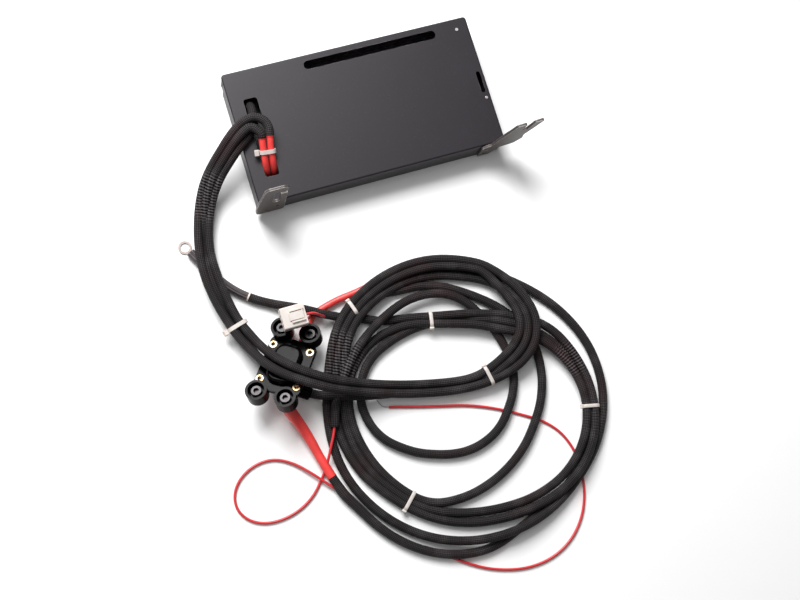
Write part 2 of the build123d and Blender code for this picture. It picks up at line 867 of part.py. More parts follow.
# ---------------------------------------------------------------- junction block
tower_places = [(sx * tower_x, sy * tower_y) for sx in (-1, 1) for sy in (-1, 1)]
eyelet_places = [
    (sx * eyelet_square / 2, sy * eyelet_square / 2) for sx in (-1, 1) for sy in (-1, 1)
]
eyelet_outer = eyelet_bore + eyelet_wall
with BuildPart() as block_base:
    with BuildSketch(block_plane.offset(-block_thickness)):
        RectangleRounded(block_length, block_width, block_corner)
    extrude(amount=block_thickness)
    with BuildSketch(block_plane.offset(-tower_skirt)):
        with Locations(*tower_places):
            Circle(tower_radius)
    extrude(amount=tower_skirt + tower_height)
    with BuildSketch(block_plane.offset(cup_floor)):
        with Locations(*tower_places):
            Circle(tower_cup_radius)
    extrude(amount=tower_height, mode=Mode.SUBTRACT)
    with BuildSketch(block_plane.offset(-tower_skirt + 1.0)):
        with Locations(*tower_places):
            Circle(screw_shank_radius + screw_running_gap)
    extrude(amount=tower_height + tower_skirt, mode=Mode.SUBTRACT)
    with BuildSketch(block_plane.offset(-block_thickness)):
        with Locations(*eyelet_places):
            Circle(eyelet_outer + hole_clearance)
    extrude(amount=2 * block_thickness, mode=Mode.SUBTRACT)
save(block_base, "block_base")

with BuildPart() as mount_eyelets:
    with BuildSketch(block_plane.offset(-block_thickness)):
        with Locations(*eyelet_places):
            Circle(eyelet_outer)
    extrude(amount=block_thickness)
    with BuildSketch(block_plane.offset(0.05)):
        with Locations(*eyelet_places):
            Circle(eyelet_outer + eyelet_flange)
    extrude(amount=eyelet_flange_height)
    with BuildSketch(block_plane.offset(-block_thickness)):
        with Locations(*eyelet_places):
            Circle(eyelet_outer)
    extrude(amount=block_thickness + eyelet_flange_height)
    with BuildSketch(block_plane.offset(-block_thickness)):
        with Locations(*eyelet_places):
            Circle(eyelet_bore)
    extrude(amount=2 * block_thickness, mode=Mode.SUBTRACT)
save(mount_eyelets, "mount_eyelets")

with BuildPart() as block_hood:
    with BuildSketch(block_plane.offset(0.1)):
        RectangleRounded(hood_length, hood_width, hood_corner)
    extrude(amount=hood_height)
    fillet(block_hood.faces().sort_by(Axis(block_plane.origin, block_z))[-1].edges(), 4.5)
    with BuildSketch(block_plane.offset(0.1)):
        RectangleRounded(
            hood_length - 2 * hood_wall,
            hood_width - 2 * hood_wall,
            hood_corner - hood_wall,
        )
    extrude(amount=hood_height - hood_wall - 1.5, mode=Mode.SUBTRACT)
save(block_hood, "block_hood")

with BuildPart() as link_bar:
    with BuildSketch(block_plane.offset(0.15)):
        RectangleRounded(hood_length - 14.0, hood_width - 14.0, 3.0)
    extrude(amount=1.5)
save(link_bar, "link_bar")

for number, place in enumerate(tower_places, start=1):
    with BuildPart() as terminal_screw:
        with BuildSketch(block_plane.offset(cup_floor + latch_gap)):
            with Locations(place):
                Circle(screw_head_radius)
        extrude(amount=screw_head_height)
        fillet(
            terminal_screw.faces().sort_by(Axis(block_plane.origin, block_z))[-1].edges(),
            0.5,
        )
        with BuildSketch(block_plane.offset(cup_floor + latch_gap)):
            with Locations(place):
                Circle(screw_shank_radius)
        extrude(amount=-cup_floor - tower_skirt + 1.5)
        with BuildSketch(block_plane.offset(cup_floor + latch_gap + screw_head_height - hex_depth)):
            with Locations(place):
                RegularPolygon(hex_across_flats / 2, 6, major_radius=False)
        extrude(amount=2 * hex_depth, mode=Mode.SUBTRACT)
    save(terminal_screw, f"terminal_screw_{number}")

gland_depth = -block_thickness - 0.15 - gland_radius
with BuildPart() as tail_glands:
    # two short strain reliefs under the block, one pointing to each end
    for along, route in ((-1, tail_1_route), (1, tail_2_route)):
        mouth = Vector(*route[0])
        heading = block_x * along
        with BuildSketch(Plane(origin=mouth - heading * gland_length, z_dir=heading)):
            Circle(gland_radius)
        extrude(amount=gland_length - 0.05)
save(tail_glands, "tail_glands")

# ---------------------------------------------------------------- holder on the middle cable
holder_from = Vector(*cable_b_route[-3])
holder_to = Vector(*cable_b_route[-2])
holder_axis = (holder_to - holder_from).normalized()
holder_middle = (holder_from + holder_to) * 0.5
with BuildPart() as inline_holder:
    with BuildSketch(Plane(origin=holder_middle - holder_axis * holder_length / 2, z_dir=holder_axis)):
        Circle(holder_radius)
        Circle(cable_radius + holder_gap, mode=Mode.SUBTRACT)
    extrude(amount=holder_length)
    chamfer(
        inline_holder.edges().filter_by(GeomType.CIRCLE).filter_by(lambda e: e.radius > 8.0),
        1.5,
    )
save(inline_holder, "inline_holder")

# ---------------------------------------------------------------- ring terminal
lug_mouth = Vector(*lug_lead_route[0])
lug_next = Vector(*lug_lead_route[1])
lug_heading = (lug_mouth - lug_next).normalized()
lug_side = Vector(-lug_heading.Y, lug_heading.X, 0)
lug_centre = lug_mouth + lug_heading * (lug_barrel_length + lug_radius - 3.0)
lug_plane = Plane(
    origin=(lug_centre.X, lug_centre.Y, 0.0),
    x_dir=lug_heading,
    z_dir=(0, 0, 1),
)
with BuildPart() as ring_terminal:
    with BuildSketch(lug_plane):
        Circle(lug_radius)
        with Locations((-lug_radius, 0)):
            Rectangle(lug_radius * 2, lug_barrel_radius * 1.7)
    extrude(amount=lug_thickness)
    with BuildSketch(Plane(origin=lug_mouth + lug_heading * 0.05, z_dir=lug_heading)):
        Circle(lug_barrel_radius)
    extrude(amount=lug_barrel_length - 4.0)
    with BuildSketch(lug_plane):
        Circle(lug_hole_radius)
    extrude(amount=3 * lug_thickness, mode=Mode.SUBTRACT)
save(ring_terminal, "ring_terminal")

# ---------------------------------------------------------------- plug
px, py, pz = plug_centre
plug_face = px - plug_length / 2
plug_top = pz + plug_height / 2
with BuildPart() as plug_housing:
    with Locations(plug_centre):
        Box(plug_length, plug_width, plug_height)
    fillet(plug_housing.edges().filter_by(Axis.X), 1.6)
    with BuildSketch(Plane(origin=(plug_face, py, pz), x_dir=(0, 1, 0), z_dir=(1, 0, 0))):
        with GridLocations(plug_pitch, plug_pitch - 0.4, plug_columns, plug_rows):
            Rectangle(cavity, cavity)
    extrude(amount=cavity_depth, mode=Mode.SUBTRACT)
    # a rib each side of the latch, and a boss that carries its hinge
    with Locations(
        (px + 4.0, py - latch_width / 2 - 2.0, plug_top - 0.2),
        (px + 4.0, py + latch_width / 2 + 2.0, plug_top - 0.2),
    ):
        Box(16.0, 1.8, 2.6, align=(Align.CENTER, Align.CENTER, Align.MIN))
save(plug_housing, "plug_housing")

latch_hinge = (px + 10.5, py, plug_top + 1.4)
with BuildPart() as plug_latch:
    with BuildSketch(Plane(origin=(px, py - latch_width / 2, 0), x_dir=(1, 0, 0), z_dir=(0, 1, 0))):
        with BuildLine():
            # seen from the front: a flat lever with a nose that drops over the socket's ridge
            Polyline(
                (10.5, -plug_top - latch_gap),
                (10.5, -plug_top - latch_gap - latch_thickness),
                (-latch_length + 10.5, -plug_top - latch_gap - latch_thickness),
                (-latch_length + 9.0, -plug_top - latch_gap - 0.5),
                (-latch_length + 9.0, -plug_top - latch_gap),
                close=True,
            )
        make_face()
    extrude(amount=latch_width)
    with Locations(latch_hinge):
        Cylinder(0.9, latch_width + 1.6, rotation=(90, 0, 0))
save(plug_latch, "plug_latch")

with BuildPart() as plug_contacts:
    with BuildSketch(Plane(origin=(plug_face + 3.0, py, pz), x_dir=(0, 1, 0), z_dir=(1, 0, 0))):
        with GridLocations(plug_pitch, plug_pitch - 0.4, plug_columns, plug_rows):
            Circle(1.3)
    extrude(amount=cavity_depth - 3.1)
save(plug_contacts, "plug_contacts")

# ---------------------------------------------------------------- cable ties


def bundle_tie(label, plane, places, radius, head_at, head_turn):
    """A strap round a bundle of round leads that lie at places in the plane, with its head."""
    with BuildPart() as tie:
        with BuildSketch(plane.offset(-tie_width / 2)):
            with BuildSketch(mode=Mode.PRIVATE) as leads:
                with Locations(*places):
                    Circle(radius + tie_gap)
            band = make_hull(leads.edges(), mode=Mode.PRIVATE)
            add(offset(band, tie_thickness, mode=Mode.PRIVATE))
            add(band, mode=Mode.SUBTRACT)
        extrude(amount=tie_width)
        with BuildSketch(plane.offset(-tie_head[2] / 2)):
            with Locations(Location((head_at[0], head_at[1]), head_turn)):
                Rectangle(tie_head[0], tie_head[1])
        extrude(amount=tie_head[2])
    return save(tie, label)


# three cables in a triangle, with two on top
trunk_tie_plane = Plane(origin=(-213.9, -205.5, 0.0), x_dir=(0.96, 0.27, 0.0), z_dir=(0.27, -0.96, 0.0))
bundle_tie(
    "trunk_tie",
    trunk_tie_plane,
    [crossing(route, trunk_tie_plane) for route in (cable_a_route, cable_b_route, cable_c_route)],
    cable_radius,
    (-15.3, 15.2),
    75,
)
# the two red leads side by side where they leave the slot
lead_tie_plane = Plane(origin=(-126.3, -24.0, 45.0), x_dir=(1, 0, 0), z_dir=(0.1, 0.9, 0.42))
bundle_tie(
    "lead_tie",
    lead_tie_plane,
    [crossing(route, lead_tie_plane) for route in (lead_a_route, lead_b_route)],
    lead_radius,
    (-12.6, 0.6),
    80,
)
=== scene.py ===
import json
import math

import bpy
import numpy as np
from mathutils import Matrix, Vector


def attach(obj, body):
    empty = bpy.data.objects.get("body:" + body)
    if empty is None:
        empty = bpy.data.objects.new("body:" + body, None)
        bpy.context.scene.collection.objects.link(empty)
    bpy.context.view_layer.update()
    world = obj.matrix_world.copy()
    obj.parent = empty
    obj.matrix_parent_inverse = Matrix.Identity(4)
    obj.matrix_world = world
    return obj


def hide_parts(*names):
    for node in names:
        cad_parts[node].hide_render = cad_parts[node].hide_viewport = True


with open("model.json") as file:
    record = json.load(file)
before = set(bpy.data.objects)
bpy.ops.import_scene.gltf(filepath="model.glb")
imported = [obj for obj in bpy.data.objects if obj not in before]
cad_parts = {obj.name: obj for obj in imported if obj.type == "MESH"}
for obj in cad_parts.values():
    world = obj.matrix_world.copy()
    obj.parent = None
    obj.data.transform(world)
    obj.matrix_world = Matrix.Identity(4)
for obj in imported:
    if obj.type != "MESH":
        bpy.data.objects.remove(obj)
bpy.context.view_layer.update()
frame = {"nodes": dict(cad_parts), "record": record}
rootBody = "box_and_loom"
print("frame loaded")


# a shader socket, wrapped so that sums on it read as sums
class Wire:
    def __init__(self, tree, socket):
        self.tree = tree
        self.socket = socket

    def maths(self, operation, *others):
        node = self.tree.nodes.new("ShaderNodeMath")
        node.operation = operation
        for place, value in enumerate((self, *others)):
            if isinstance(value, Wire):
                self.tree.links.new(value.socket, node.inputs[place])
            else:
                node.inputs[place].default_value = value
        return Wire(self.tree, node.outputs[0])

    def flipped(self, operation, other):
        node = self.tree.nodes.new("ShaderNodeMath")
        node.operation = operation
        node.inputs[0].default_value = other
        self.tree.links.new(self.socket, node.inputs[1])
        return Wire(self.tree, node.outputs[0])

    def __add__(self, other):
        return self.maths("ADD", other)

    def __radd__(self, other):
        return self.flipped("ADD", other)

    def __sub__(self, other):
        return self.maths("SUBTRACT", other)

    def __rsub__(self, other):
        return self.flipped("SUBTRACT", other)

    def __mul__(self, other):
        return self.maths("MULTIPLY", other)

    def sine(self):
        return self.maths("SINE")

    def over(self, low, high):  # 0 below low, 1 above high, straight between
        node = self.tree.nodes.new("ShaderNodeMapRange")
        node.inputs["From Min"].default_value = low
        node.inputs["From Max"].default_value = high
        self.tree.links.new(self.socket, node.inputs["Value"])
        return Wire(self.tree, node.outputs[0])

    def part(self, name):  # one output of a node that has several
        return Wire(self.tree, self.socket.node.outputs[name])


class Finish:
    def __init__(self, name, **constants):
        self.material = bpy.data.materials.new(name)
        self.material.use_nodes = True
        self.tree = self.material.node_tree
        self.shader = self.tree.nodes["Principled BSDF"]
        for socket, value in constants.items():
            self.shader.inputs[socket.replace("_", " ")].default_value = value

    def node(self, kind, settings=None, output=0, **sockets):
        made = self.tree.nodes.new("ShaderNode" + kind)
        for key, value in (settings or {}).items():
            if key == "stops":
                ramp = made.color_ramp
                while len(ramp.elements) < len(value):
                    ramp.elements.new(0.5)
                for element, (place, colour) in zip(ramp.elements, value):
                    element.position = place
                    element.color = (*colour, 1)
            else:
                setattr(made, key, value)
        for key, value in sockets.items():
            socket = made.inputs[key.replace("_", " ")]
            if isinstance(value, Wire):
                self.tree.links.new(value.socket, socket)
            else:
                socket.default_value = value
        return Wire(self.tree, made.outputs[output])

    def place(self):  # the piece's own coordinates, in metres
        return self.node("TexCoord", output="Object")

    def along(self):  # u runs round a cable and v along it, both in turns of its own girth
        return self.node("SeparateXYZ", output="X", Vector=self.node("UVMap"))

    def grain(self, scale, detail=3.0, roughness=0.55, where=None):
        return self.node(
            "TexNoise", Vector=where or self.place(), Scale=scale, Detail=detail, Roughness=roughness
        )

    def ramp(self, factor, *stops):
        return self.node("ValToRGB", {"stops": stops}, Fac=factor)

    def mixed(self, factor, first, second):
        made = self.tree.nodes.new("ShaderNodeMix")
        made.data_type = "RGBA"
        self.tree.links.new(factor.socket, made.inputs[0])
        for socket, value in ((made.inputs[6], first), (made.inputs[7], second)):
            if isinstance(value, Wire):
                self.tree.links.new(value.socket, socket)
            else:
                socket.default_value = (*value, 1)
        return Wire(self.tree, made.outputs[2])

    def feed(self, socket, wire):
        self.tree.links.new(wire.socket, self.shader.inputs[socket])

    def bump(self, height, distance, strength=1.0):
        self.feed("Normal", self.node("Bump", Height=height, Distance=distance, Strength=strength))

    def edges(self, width, low=0.02, high=0.25):
        # 1 along outside edges, 0 on flats: how far a rounded normal turns from the true one
        rounded = self.node("Bevel", {"samples": 4}, Radius=width)
        true = self.node("NewGeometry", output="Normal")
        meet = self.node("VectorMath", {"operation": "DOT_PRODUCT"}, output="Value")
        self.tree.links.new(rounded.socket, meet.socket.node.inputs[0])
        self.tree.links.new(true.socket, meet.socket.node.inputs[1])
        return (1.0 - meet).over(low, high)


# cable routes in metres, each the control points of one NURBS line
coil = {"centre": (0.019, -0.372), "step": 20}  # degrees between two points of a turn


def turns(start, radii, heights):
    # points round the coil's centre, one every step, at radii and heights given in millimetres
    angles = np.radians(start + coil["step"] * np.arange(len(radii)))
    reach = np.array(radii) / 1000
    middle = coil["centre"]
    flat = np.stack((middle[0] + reach * np.cos(angles), middle[1] + reach * np.sin(angles)), 1)
    rows = np.column_stack((flat, np.array(heights) / 1000))
    return [tuple(row) for row in rows]


blockTail = [  # red tail at the block's lower gland, out to where its sleeve begins
    (-0.1860, -0.2972, 0.0286),
    (-0.1880, -0.3035, 0.0300),
    (-0.1868, -0.3100, 0.0240),
    (-0.1832, -0.3185, 0.0160),
    (-0.1790, -0.3275, 0.0108),
    (-0.1752, -0.3375, 0.0082),
    (-0.1705, -0.3530, 0.0066),
    (-0.1665, -0.3710, 0.0062),
    (-0.1620, -0.3890, 0.0062),
    (-0.1570, -0.4060, 0.0062),
    (-0.1520, -0.4220, 0.0062),
]

cableRoutes = {
    # out of the slot, over the block, one and a third turns, then red into the block's upper gland
    "cableA": [
        (-0.1234, -0.0456, 0.0150),
        (-0.1234, -0.0456, 0.0295),
        (-0.1232, -0.0350, 0.0405),
        (-0.1218, -0.0205, 0.0465),
        (-0.1196, -0.0090, 0.0503),
        (-0.1176, 0.0020, 0.0530),
        (-0.1210, 0.0120, 0.0520),
        (-0.1315, 0.0185, 0.0518),
        (-0.1470, 0.0155, 0.0495),
        (-0.1630, 0.0050, 0.0445),
        (-0.1780, -0.0080, 0.0375),
        (-0.1920, -0.0205, 0.0300),
        (-0.2040, -0.0340, 0.0225),
        (-0.2130, -0.0495, 0.0160),
        (-0.2200, -0.0660, 0.0128),
        (-0.2260, -0.0850, 0.0130),
        (-0.2305, -0.1040, 0.0145),
        (-0.2335, -0.1260, 0.0165),
        (-0.2330, -0.1510, 0.0162),
        (-0.2285, -0.1780, 0.0145),
        (-0.2200, -0.2080, 0.0154),
        (-0.2145, -0.2230, 0.0195),
        (-0.2075, -0.2380, 0.0260),
        (-0.2000, -0.2530, 0.0350),
        (-0.1900, -0.2670, 0.0430),
        (-0.1770, -0.2795, 0.0485),
        (-0.1630, -0.2895, 0.0505),
        (-0.1490, -0.2980, 0.0480),
        (-0.1350, -0.3055, 0.0415),
        (-0.1180, -0.3125, 0.0335),
        (-0.0980, -0.3195, 0.0250),
        (-0.0750, -0.3270, 0.0170),
        (-0.0490, -0.3350, 0.0125),
        (-0.0210, -0.3420, 0.0122),
        (0.0090, -0.3480, 0.0122),
        (0.0360, -0.3500, 0.0122),
        (0.0600, -0.3485, 0.0130),
        (0.0820, -0.3435, 0.0150),
        (0.0990, -0.3355, 0.0195),
        (0.1130, -0.3230, 0.0225),
        (0.1215, -0.3080, 0.0225),
        (0.1250, -0.2900, 0.0225),
        (0.1220, -0.2710, 0.0215),
        (0.1145, -0.2500, 0.0180),
        (0.1020, -0.2310, 0.0150),
    ]
    + turns(
        70,
        [175, 185, 188, 187, 172, 169, 168, 163, 159, 155, 152]
        + [152, 154, 161, 167, 168, 165, 163, 168, 176, 184],
        [14, 14, 14, 13, 6, 5, 5, 5, 5, 11, 14.5, 10, 5, 5, 5, 5, 5, 5, 5, 5, 5],
    )
    + [
        (-0.0700, -0.2040, 0.0046),
        (-0.0910, -0.2060, 0.0044),
        (-0.1070, -0.2095, 0.0044),
        (-0.1210, -0.2135, 0.0044),
        (-0.1310, -0.2198, 0.0044),
        (-0.1370, -0.2290, 0.0060),
        (-0.1430, -0.2394, 0.0084),
        (-0.1484, -0.2462, 0.0108),
    ],
    # under the block and along the chord, two turns and a half, its end under the upper turns
    "cableB": [
        (-0.1320, -0.0456, 0.0150),
        (-0.1320, -0.0456, 0.0295),
        (-0.1319, -0.0350, 0.0405),
        (-0.1306, -0.0210, 0.0460),
        (-0.1292, -0.0105, 0.0500),
        (-0.1282, -0.0031, 0.0528),
        (-0.1370, 0.0083, 0.0518),
        (-0.1476, 0.0044, 0.0500),
        (-0.1604, -0.0043, 0.0455),
        (-0.1743, -0.0161, 0.0385),
        (-0.1880, -0.0281, 0.0310),
        (-0.2001, -0.0418, 0.0240),
        (-0.2090, -0.0573, 0.0180),
        (-0.2158, -0.0737, 0.0120),
        (-0.2217, -0.0920, 0.0085),
        (-0.2255, -0.1113, 0.0090),
        (-0.2272, -0.1310, 0.0138),
        (-0.2265, -0.1516, 0.0142),
        (-0.2230, -0.1728, 0.0110),
        (-0.2190, -0.1910, 0.0075),
        (-0.2147, -0.2063, 0.0066),
        (-0.2085, -0.2250, 0.0056),
        (-0.2010, -0.2450, 0.0047),
        (-0.1900, -0.2650, 0.0052),
        (-0.1785, -0.2820, 0.0074),
        (-0.1695, -0.2923, 0.0088),
        (-0.1515, -0.3057, 0.0105),
        (-0.1350, -0.3120, 0.0135),
        (-0.1100, -0.3200, 0.0135),
        (-0.0780, -0.3275, 0.0090),
        (-0.0480, -0.3315, 0.0048),
        (-0.0200, -0.3370, 0.0047),
        (0.0090, -0.3430, 0.0047),
        (0.0350, -0.3450, 0.0060),
        (0.0570, -0.3420, 0.0110),
        (0.0780, -0.3350, 0.0150),
        (0.0930, -0.3275, 0.0200),
        (0.1050, -0.3160, 0.0225),
        (0.1125, -0.3020, 0.0225),
        (0.1150, -0.2860, 0.0220),
        (0.1120, -0.2690, 0.0190),
        (0.1040, -0.2520, 0.0120),
        (0.0900, -0.2370, 0.0070),
    ]
    + turns(
        70,
        [156, 166, 171, 170, 154, 149, 143, 133, 129, 122]
        + [122, 129, 138, 143, 142, 132, 118, 101, 99, 103]
        + [124, 142, 148, 142, 133, 126, 122, 104, 90, 82, 79, 80, 88, 100, 115, 125, 135, 155, 167],
        [6, 6, 11, 13.5, 7, 5, 5, 5, 5, 5, 5, 10, 12.6, 12.6, 12.6, 12.6, 13.2, 13.2, 12.6, 12.6]
        + [8, 5, 5, 5, 5, 5, 5, 5, 5, 5, 5, 5, 5, 5, 5, 5, 5, 5, 5],
    )
    + [(-0.0540, -0.2100, 0.0047)],
    # out of the slot's rear end, over the block, one turn and a half, then under the turns to the lug
    "cableC": [
        (-0.1286, 0.0398, 0.0150),
        (-0.1286, 0.0398, 0.0280),
        (-0.1290, 0.0315, 0.0378),
        (-0.1305, 0.0200, 0.0414),
        (-0.1340, 0.0080, 0.0417),
        (-0.1435, -0.0018, 0.0418),
        (-0.1567, -0.0109, 0.0414),
        (-0.1704, -0.0221, 0.0360),
        (-0.1847, -0.0344, 0.0280),
        (-0.1969, -0.0493, 0.0200),
        (-0.2056, -0.0652, 0.0145),
        (-0.2125, -0.0821, 0.0125),
        (-0.2175, -0.0998, 0.0125),
        (-0.2202, -0.1178, 0.0140),
        (-0.2202, -0.1360, 0.0162),
        (-0.2188, -0.1541, 0.0165),
        (-0.2166, -0.1720, 0.0160),
        (-0.2137, -0.1890, 0.0155),
        (-0.2095, -0.2039, 0.0156),
        (-0.2035, -0.2185, 0.0195),
        (-0.1975, -0.2330, 0.0260),
        (-0.1900, -0.2470, 0.0350),
        (-0.1805, -0.2600, 0.0430),
        (-0.1685, -0.2720, 0.0485),
        (-0.1560, -0.2815, 0.0505),
        (-0.1430, -0.2900, 0.0480),
        (-0.1295, -0.2970, 0.0415),
        (-0.1135, -0.3035, 0.0335),
        (-0.0940, -0.3105, 0.0250),
        (-0.0720, -0.3175, 0.0170),
        (-0.0465, -0.3250, 0.0125),
        (-0.0185, -0.3320, 0.0122),
        (0.0110, -0.3380, 0.0122),
        (0.0340, -0.3398, 0.0122),
        (0.0550, -0.3350, 0.0130),
        (0.0740, -0.3270, 0.0150),
        (0.0875, -0.3185, 0.0195),
        (0.0980, -0.3085, 0.0225),
        (0.1045, -0.2960, 0.0225),
        (0.1060, -0.2820, 0.0220),
        (0.1030, -0.2660, 0.0205),
        (0.0950, -0.2460, 0.0175),
        (0.0880, -0.2300, 0.0150),
    ]
    + turns(
        70,
        [167, 176, 179, 178, 163, 160, 152, 140, 136, 134, 134]
        + [140, 150, 154, 151, 144, 138, 120, 112, 113, 131],
        [14, 14, 14, 13, 6, 5, 5, 5, 5, 5, 6, 12, 13.2, 12.6, 12.6, 12.6, 13, 13.2, 12.6, 12.6, 7],
    )
    + [
        (-0.0520, -0.2450, 0.0050),
        (-0.0700, -0.2360, 0.0050),
        (-0.0920, -0.2290, 0.0060),
        (-0.1130, -0.2200, 0.0130),
        (-0.1275, -0.2120, 0.0160),
        (-0.1425, -0.2035, 0.0150),
        (-0.1565, -0.1960, 0.0090),
        (-0.1705, -0.1885, 0.0055),
        (-0.1840, -0.1805, 0.0047),
        (-0.1960, -0.1715, 0.0047),
        (-0.2060, -0.1620, 0.0047),
        (-0.2150, -0.1510, 0.0047),
        (-0.2235, -0.1385, 0.0047),
        (-0.2310, -0.1255, 0.0047),
        (-0.2375, -0.1135, 0.0047),
        (-0.2412, -0.1065, 0.0046),
    ],
    # from the block's lower gland, one outer turn, one inner turn, ending under the chord
    "cableD": blockTail
    + turns(
        200,
        [176, 176, 174, 167, 148, 148, 150, 150, 145, 131]
        + [118, 108, 105, 112, 121, 134, 132, 115, 86, 65]
        + [54, 47, 43, 42, 43, 46, 55, 69, 85, 107, 138, 148, 148, 152, 158],
        [6, 5, 5, 5, 5, 5, 5, 5, 5, 10, 13.2, 13.2, 6, 5, 5, 5, 5, 5, 5, 5]
        + [5, 5, 5, 5, 5, 5, 5, 5, 5, 5, 9, 13, 13, 13, 13],
    )
    + [(-0.1385, -0.3430, 0.0130), (-0.1398, -0.3475, 0.0125)],
    # thin wire out of the last sleeve's end, round in a loose loop and back in beside the red tail
    "senseLoop": [
        (-0.1385, -0.3425, 0.0140),
        (-0.1425, -0.3535, 0.0140),
        (-0.1500, -0.3670, 0.0132),
        (-0.1585, -0.3830, 0.0100),
        (-0.1640, -0.3920, 0.0040),
        (-0.1715, -0.4015, 0.0016),
        (-0.1845, -0.4155, 0.0016),
        (-0.2040, -0.4265, 0.0016),
        (-0.2270, -0.4310, 0.0016),
        (-0.2480, -0.4285, 0.0016),
        (-0.2640, -0.4185, 0.0016),
        (-0.2720, -0.4030, 0.0016),
        (-0.2695, -0.3855, 0.0016),
        (-0.2570, -0.3705, 0.0016),
        (-0.2370, -0.3615, 0.0016),
        (-0.2150, -0.3620, 0.0016),
        (-0.1955, -0.3735, 0.0026),
        (-0.1790, -0.3905, 0.0050),
        (-0.1665, -0.4060, 0.0050),
        (-0.1530, -0.4210, 0.0050),
    ],
    # thin wire out of the outer sleeve, round the right of the coil and in to a stripped end
    "senseArc": [
        (-0.0520, -0.5300, 0.0030),
        (-0.0300, -0.5470, 0.0016),
        (-0.0010, -0.5610, 0.0016),
        (0.0300, -0.5685, 0.0016),
        (0.0610, -0.5665, 0.0016),
        (0.0880, -0.5545, 0.0016),
        (0.1080, -0.5350, 0.0016),
        (0.1205, -0.5120, 0.0016),
        (0.1270, -0.4850, 0.0016),
        (0.1270, -0.4580, 0.0016),
        (0.1180, -0.4310, 0.0016),
        (0.1000, -0.4110, 0.0016),
        (0.0760, -0.3960, 0.0016),
        (0.0480, -0.3800, 0.0016),
        (0.0160, -0.3670, 0.0016),
        (-0.0140, -0.3595, 0.0016),
        (-0.0420, -0.3520, 0.0016),
        (-0.0620, -0.3460, 0.0016),
        (-0.0700, -0.3440, 0.0016),
        (-0.0755, -0.3425, 0.0012),
        (-0.0805, -0.3385, 0.0012),
        (-0.0825, -0.3315, 0.0018),
    ],
    "plugLead": [
        (-0.1379, -0.2164, 0.0350),
        (-0.1300, -0.2166, 0.0345),
        (-0.1245, -0.2185, 0.0305),
        (-0.1200, -0.2207, 0.0240),
        (-0.1165, -0.2222, 0.0180),
        (-0.1135, -0.2222, 0.0140),
    ],
}


def smoothLine(points):
    # one NURBS line through the route, read back as the points that its tube follows
    data = bpy.data.curves.new("line", "CURVE")
    data.dimensions = "3D"
    data.resolution_u = 8
    spline = data.splines.new("NURBS")
    spline.points.add(len(points) - 1)
    spline.points.foreach_set("co", np.column_stack((points, np.ones(len(points)))).ravel())
    spline.order_u = 3
    spline.use_endpoint_u = True
    holder = bpy.data.objects.new("line", data)
    mesh = bpy.data.meshes.new_from_object(holder)
    rows = np.empty(len(mesh.vertices) * 3)
    mesh.vertices.foreach_get("co", rows)
    bpy.data.objects.remove(holder)
    bpy.data.curves.remove(data)
    bpy.data.meshes.remove(mesh)
    return rows.reshape(-1, 3)


def frames(line):
    # tangents by differences, and sideways and upward directions that never twist about a level cable
    ahead = np.gradient(line, axis=0)
    ahead /= np.linalg.norm(ahead, axis=1, keepdims=True)
    side = np.cross(ahead, (0.0, 0.0, 1.0))
    lengths = np.linalg.norm(side, axis=1)
    firm = np.nonzero(lengths > 0.25)[0]
    nearest = firm[np.abs(np.arange(len(line))[:, None] - firm[None, :]).argmin(1)]
    side = side[nearest]
    side -= ahead * np.sum(side * ahead, 1, keepdims=True)
    side /= np.linalg.norm(side, axis=1, keepdims=True)
    return ahead, side, np.cross(side, ahead)


def lengthsAlong(line):
    return np.concatenate(([0.0], np.cumsum(np.linalg.norm(np.diff(line, axis=0), axis=1))))


def sheetMesh(name, grid, closedAround=False, uv=None, capped=False):
    # a grid of points, rows along the first axis, made into quads, with a UV from the same grid
    rows, columns = grid.shape[:2]
    index = np.arange(rows * columns).reshape(rows, columns)
    right = np.roll(index, -1, axis=1)
    if not closedAround:
        index, right = index[:, :-1], right[:, :-1]
    quads = np.stack((index[:-1], right[:-1], right[1:], index[1:]), -1).reshape(-1, 4)
    points = grid.reshape(-1, 3)
    faces = [tuple(quad) for quad in quads.tolist()]
    if capped:
        faces.append(tuple(np.arange(columns)[::-1].tolist()))
        faces.append(tuple((np.arange(columns) + (rows - 1) * columns).tolist()))
    mesh = bpy.data.meshes.new(name)
    mesh.from_pydata(points.tolist(), [], faces)
    if uv is not None:
        layer = mesh.uv_layers.new(name="UVMap")
        spans = np.stack((uv[:-1, :-1], uv[:-1, 1:], uv[1:, 1:], uv[1:, :-1]), 2).reshape(-1, 2)
        rest = np.zeros((len(mesh.loops) - len(spans), 2))
        layer.data.foreach_set("uv", np.concatenate((spans, rest)).ravel())
    mesh.polygons.foreach_set("use_smooth", [True] * len(mesh.polygons))
    piece = bpy.data.objects.new(name, mesh)
    bpy.context.collection.objects.link(piece)
    return piece


def tube(name, line, radius, sides):
    # a circle carried along the line, its radius a number or one for each point
    ahead, side, up = frames(line)
    angles = np.linspace(0, 2 * math.pi, sides, endpoint=False)
    reach = np.broadcast_to(radius, len(line))[:, None, None]
    ring = np.cos(angles)[None, :, None] * side[:, None] + np.sin(angles)[None, :, None] * up[:, None]
    girth = 2 * math.pi * float(np.median(np.broadcast_to(radius, len(line))))
    along = lengthsAlong(line) / girth
    uv = np.stack(np.meshgrid(np.linspace(0, 1, sides + 1), along), -1)
    return sheetMesh(name, line[:, None] + reach * ring, True, uv, True)


